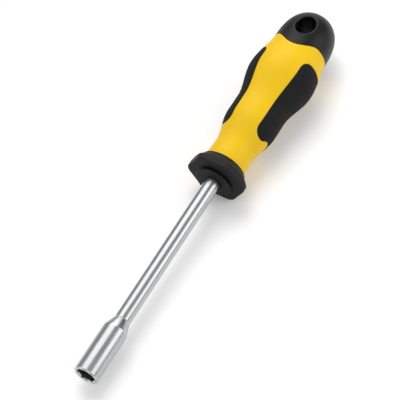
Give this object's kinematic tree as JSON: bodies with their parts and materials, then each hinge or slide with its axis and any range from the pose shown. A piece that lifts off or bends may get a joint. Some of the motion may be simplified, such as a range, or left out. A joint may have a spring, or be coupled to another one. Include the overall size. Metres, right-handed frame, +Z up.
{
  "type": "nut driver",
  "caption": "Hand nut driver with a hexagon socket on a round steel shank, a hexagonal collar and a swelling two-colour grip handle with a hang hole.",
  "frame": {"origin": "on the surface the tool lies on, under the middle of its length and of its width", "axes": "+X along the tool from the mouth of the socket to the butt, +Y to the left of the handle seen from the socket, +Z up through the hang hole"},
  "size_m": [0.24, 0.0368, 0.0346],
  "materials": {
    "head_steel": "satin chrome plate over turned steel",
    "shank_steel": "satin chrome plate over drawn steel bar",
    "core_plastic": "as moulded",
    "yellow_plastic": "satin moulded",
    "collar_plastic": "fine spark-eroded texture",
    "grip_rubber": "matte soft grip",
    "cap_plastic": "satin moulded"
  },
  "bodies": {
    "root": {"socket_head": "head_steel", "shank": "shank_steel", "handle_core": "core_plastic", "handle_body": "yellow_plastic", "hex_collar": "collar_plastic", "grip_pad_left": "grip_rubber", "grip_pad_right": "grip_rubber", "butt_cap": "cap_plastic"}
  },
  "joints": []
}
